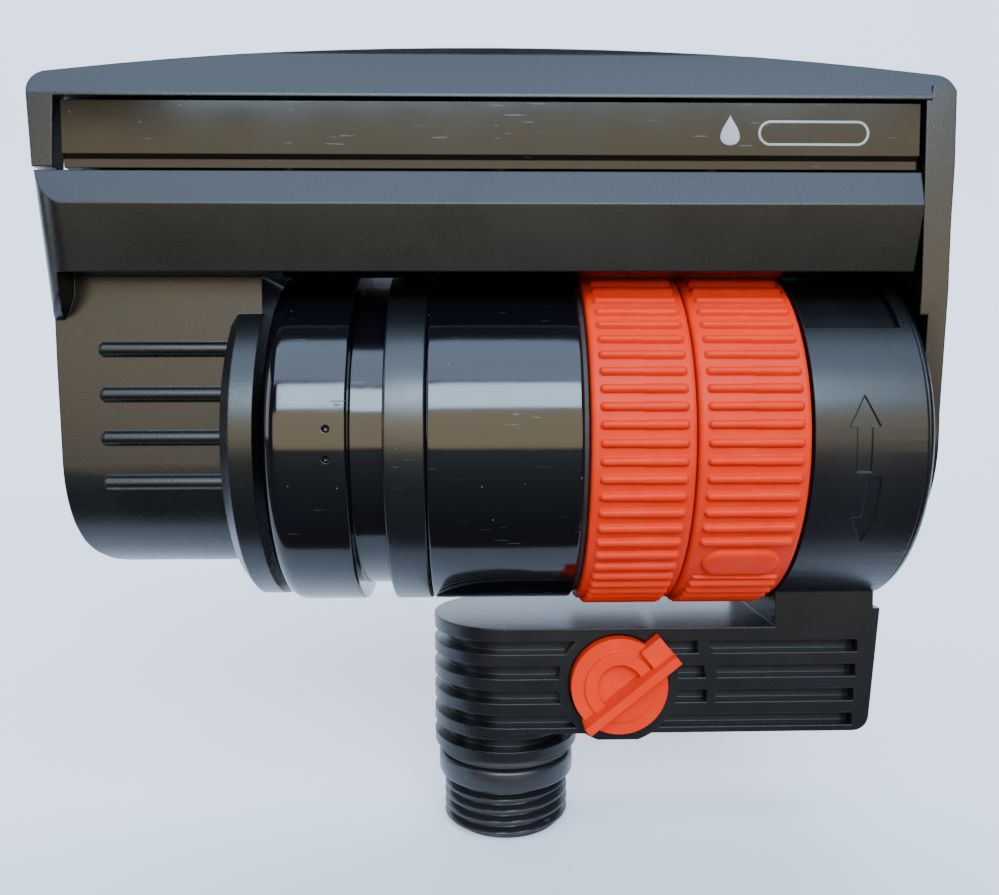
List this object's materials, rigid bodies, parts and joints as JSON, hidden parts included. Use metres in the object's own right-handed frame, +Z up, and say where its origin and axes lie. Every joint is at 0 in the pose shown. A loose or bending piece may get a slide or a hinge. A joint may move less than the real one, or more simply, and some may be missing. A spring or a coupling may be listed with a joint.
{
  "type": "oscillating garden sprinkler",
  "caption": "Compact oscillating sprinkler: water bar with soft nozzles swings about a geared barrel above an inlet manifold, with limit rings and a flow knob.",
  "frame": {"origin": "on the inlet thread's axis, at the middle of its first full crest", "axes": "+Z up out of the thread into the sprinkler, +X along the barrel from the end cap to the inlet drum, -Y towards the flow knob"},
  "size_m": [0.1293, 0.0562, 0.1212],
  "materials": {
    "matte_black": "fine moulded grain",
    "gloss_black": "polished, lightly scratched",
    "orange": "satin moulded",
    "washer": "smooth",
    "seal": "smooth rubber",
    "nozzle": "soft matte",
    "acetal": "natural",
    "steel": "drawn"
  },
  "bodies": {
    "housing": {"housing": "matte_black", "inlet_spigot": "gloss_black", "inlet_filter": "acetal", "spigot_o_ring": "seal", "drum_end_cap": "matte_black", "drum_o_ring": "seal", "drive_barrel": "gloss_black", "barrel_collar": "gloss_black", "end_cap": "gloss_black", "cap_o_ring": "seal", "ring_washer": "washer", "shaft_bush": "acetal", "shaft_seal": "seal", "gear_plate_left": "acetal", "gear_plate_right": "acetal", "gear_pins": "steel", "jet_plate": "acetal", "over_centre_spring": "steel", "pivot_pin": "steel"},
    "swing": {"swing_arm": "matte_black", "arm_cover": "matte_black", "hub_o_ring": "seal", "bar_gasket": "seal", "nozzle_body": "gloss_black", "soft_nozzles": "nozzle", "bar_screws": "steel", "hood": "matte_black", "hood_screws": "steel", "pivot_bush": "acetal", "output_gear": "acetal", "output_shaft": "steel", "trip_finger": "acetal"},
    "limit_left": {"limit_ring_left": "orange"},
    "limit_right": {"limit_ring_right": "orange"},
    "valve": {"flow_knob": "orange", "valve_plug": "acetal", "valve_o_ring": "seal"},
    "turbine": {"turbine_wheel": "acetal", "turbine_pinion": "acetal"},
    "gear_one": {"first_gear": "acetal"},
    "gear_two": {"second_gear": "acetal"},
    "gear_three": {"third_gear": "acetal"},
    "flap": {"reverse_flap": "acetal", "flap_shaft": "steel"}
  },
  "joints": [
    {"name": "swing", "type": "hinge", "parent": "housing", "child": "swing", "pos_m": [0, 0, 0.0641], "axis": [1, 0, 0], "range_deg": [-45, 45]},
    {"name": "limit_ring_left_turn", "type": "hinge", "parent": "housing", "child": "limit_left", "pos_m": [0, 0, 0.0641], "axis": [1, 0, 0], "range_deg": [-42, 0]},
    {"name": "limit_ring_right_turn", "type": "hinge", "parent": "housing", "child": "limit_right", "pos_m": [0, 0, 0.0641], "axis": [1, 0, 0], "range_deg": [0, 42]},
    {"name": "flow_valve", "type": "hinge", "parent": "housing", "child": "valve", "pos_m": [0.0175, 0, 0.02515], "axis": [0, 1, 0], "range_deg": [0, 90]},
    {"name": "turbine_spin", "type": "hinge", "parent": "housing", "child": "turbine", "pos_m": [0, 0, 0.0641], "axis": [1, 0, 0], "range_deg": [-1570, 1570]},
    {"name": "first_gear_spin", "type": "hinge", "parent": "housing", "child": "gear_one", "pos_m": [0, 0, 0.0521], "axis": [1, 0, 0], "range_deg": [-646, 646]},
    {"name": "second_gear_spin", "type": "hinge", "parent": "housing", "child": "gear_two", "pos_m": [0, 0, 0.0641], "axis": [1, 0, 0], "range_deg": [-267, 267]},
    {"name": "third_gear_spin", "type": "hinge", "parent": "housing", "child": "gear_three", "pos_m": [0, 0, 0.0521], "axis": [1, 0, 0], "range_deg": [-110, 110]},
    {"name": "flap_throw", "type": "hinge", "parent": "housing", "child": "flap", "pos_m": [0, 0, 0.0786], "axis": [1, 0, 0], "range_deg": [-24, 0]}
  ],
  "couplings": [
    {"joint": "third_gear_spin", "follows": "swing", "ratio": -2.4286},
    {"joint": "second_gear_spin", "follows": "swing", "ratio": 5.898},
    {"joint": "first_gear_spin", "follows": "swing", "ratio": -14.324},
    {"joint": "turbine_spin", "follows": "swing", "ratio": 34.786}
  ]
}
